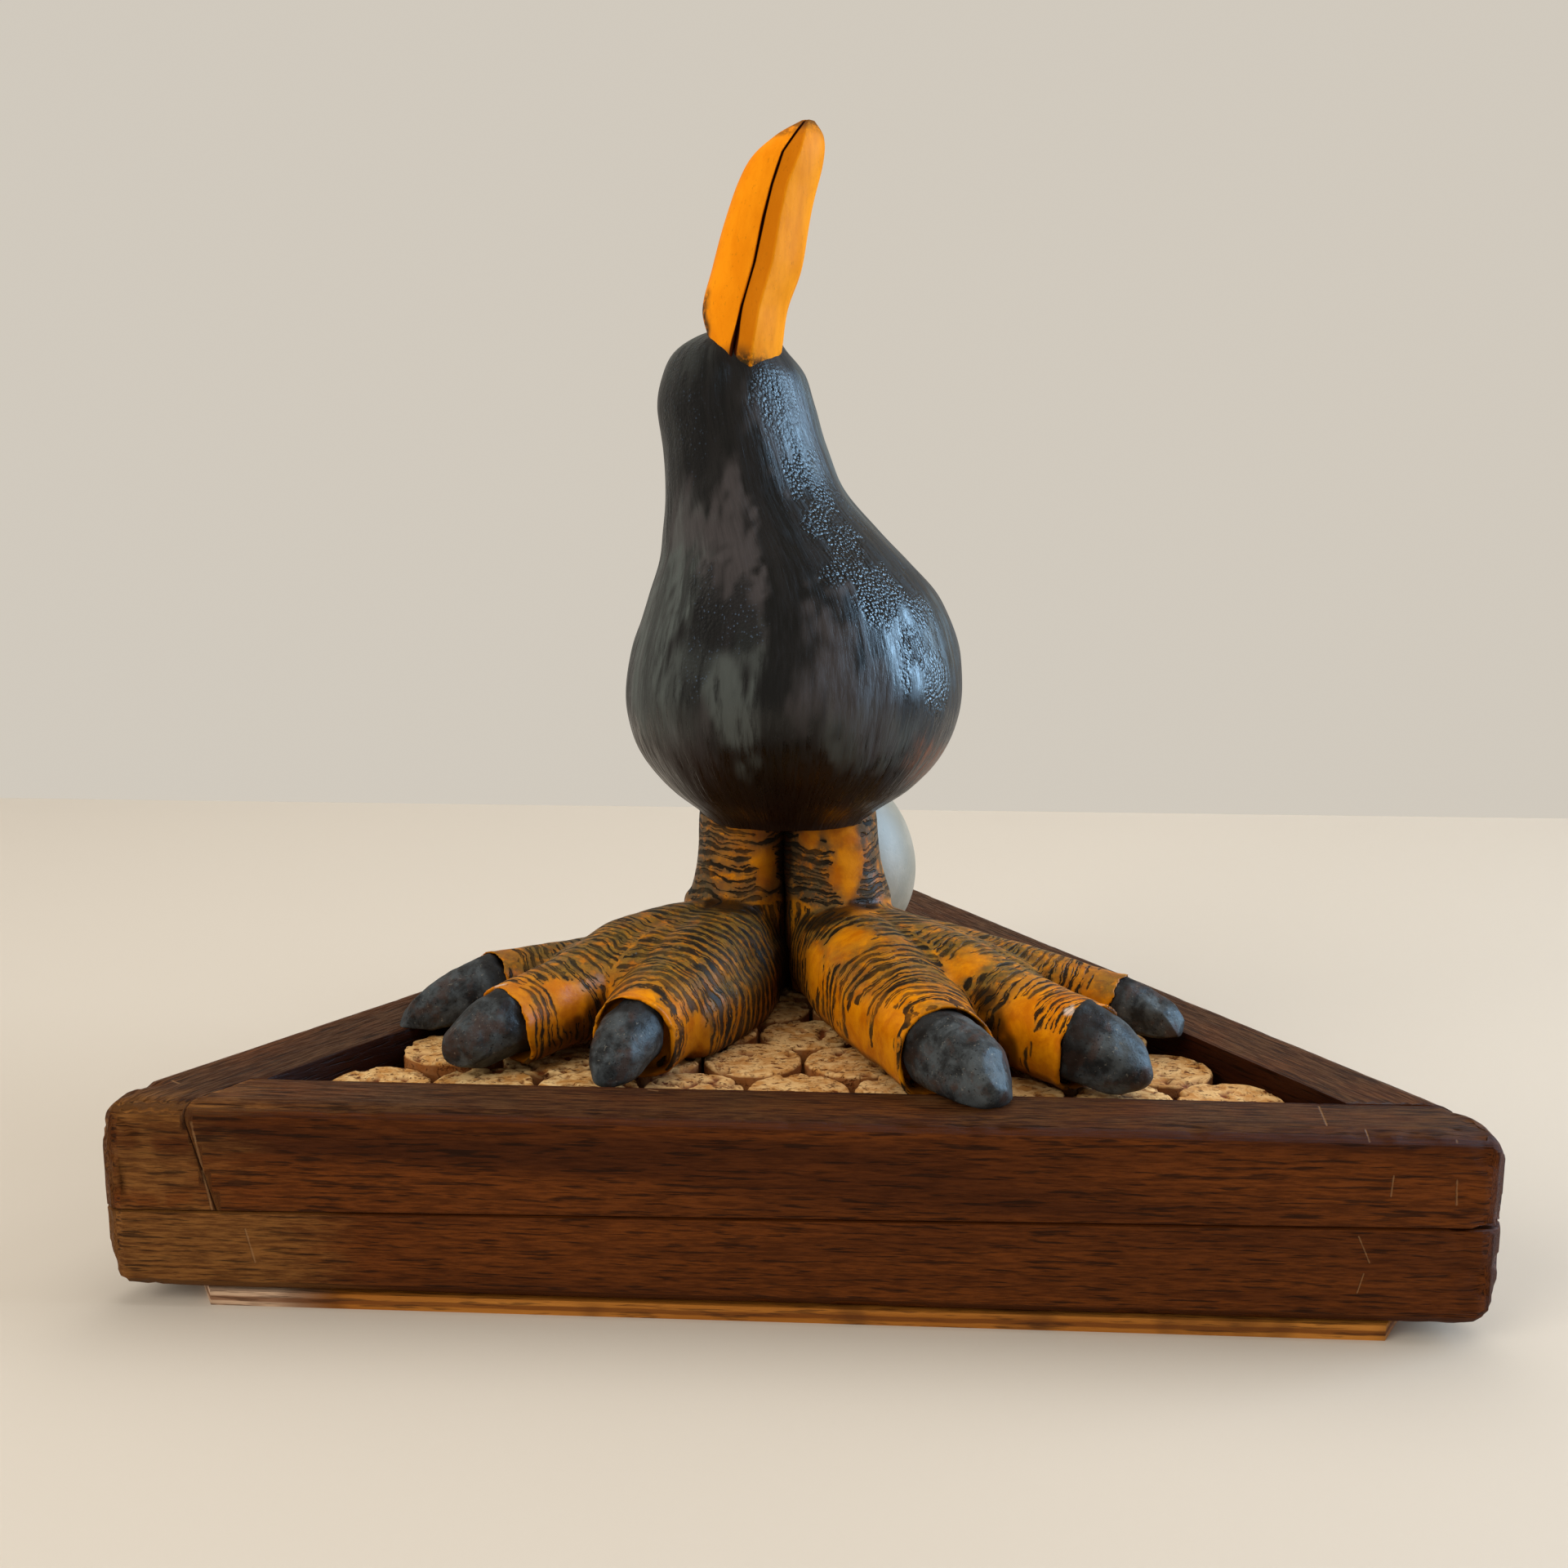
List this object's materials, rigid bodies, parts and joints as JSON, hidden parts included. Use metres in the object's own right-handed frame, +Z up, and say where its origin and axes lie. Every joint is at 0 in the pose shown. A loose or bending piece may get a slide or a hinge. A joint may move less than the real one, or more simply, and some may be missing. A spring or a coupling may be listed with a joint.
{
  "type": "bird sculpture",
  "caption": "Glazed stoneware bird with its beak raised and large clawed feet, standing on wine corks in a triangular wooden tray, with an egg behind its legs.",
  "frame": {"origin": "on the table, under the middle of the triangular base", "axes": "+Z up, +X to the right along the front rail, -Y to the front, where the toes point"},
  "size_m": [0.2976, 0.2591, 0.2675],
  "materials": {
    "glazed_ceramic": "black-brown glaze on stoneware, with an orange beak, orange feet and slate claws",
    "rail_wood": "old dark varnished hardwood, worn at the edges",
    "plywood": "bare plywood edge",
    "cork": "natural cork, cut ends up",
    "egg": "pale blue-grey, matt"
  },
  "bodies": {
    "root": {"bird": "glazed_ceramic", "front_rail_lower": "rail_wood", "front_rail_upper": "rail_wood", "right_rail_lower": "rail_wood", "right_rail_upper": "rail_wood", "left_rail_lower": "rail_wood", "left_rail_upper": "rail_wood", "plywood_base": "plywood", "cork_01": "cork", "cork_02": "cork", "cork_03": "cork", "cork_04": "cork", "cork_05": "cork", "cork_06": "cork", "cork_07": "cork", "cork_08": "cork", "cork_09": "cork", "cork_10": "cork", "cork_11": "cork", "cork_12": "cork", "cork_13": "cork", "cork_14": "cork", "cork_15": "cork", "cork_16": "cork", "cork_17": "cork", "cork_18": "cork", "cork_19": "cork", "cork_20": "cork", "cork_21": "cork", "cork_22": "cork", "cork_23": "cork", "cork_24": "cork", "cork_25": "cork", "cork_26": "cork", "cork_27": "cork", "cork_28": "cork", "cork_29": "cork", "cork_30": "cork", "cork_31": "cork", "cork_32": "cork", "cork_33": "cork", "cork_34": "cork", "cork_35": "cork", "cork_36": "cork", "cork_37": "cork", "cork_38": "cork", "cork_39": "cork", "cork_40": "cork", "cork_41": "cork", "cork_42": "cork", "cork_43": "cork", "cork_44": "cork", "cork_45": "cork", "egg": "egg"}
  },
  "joints": []
}
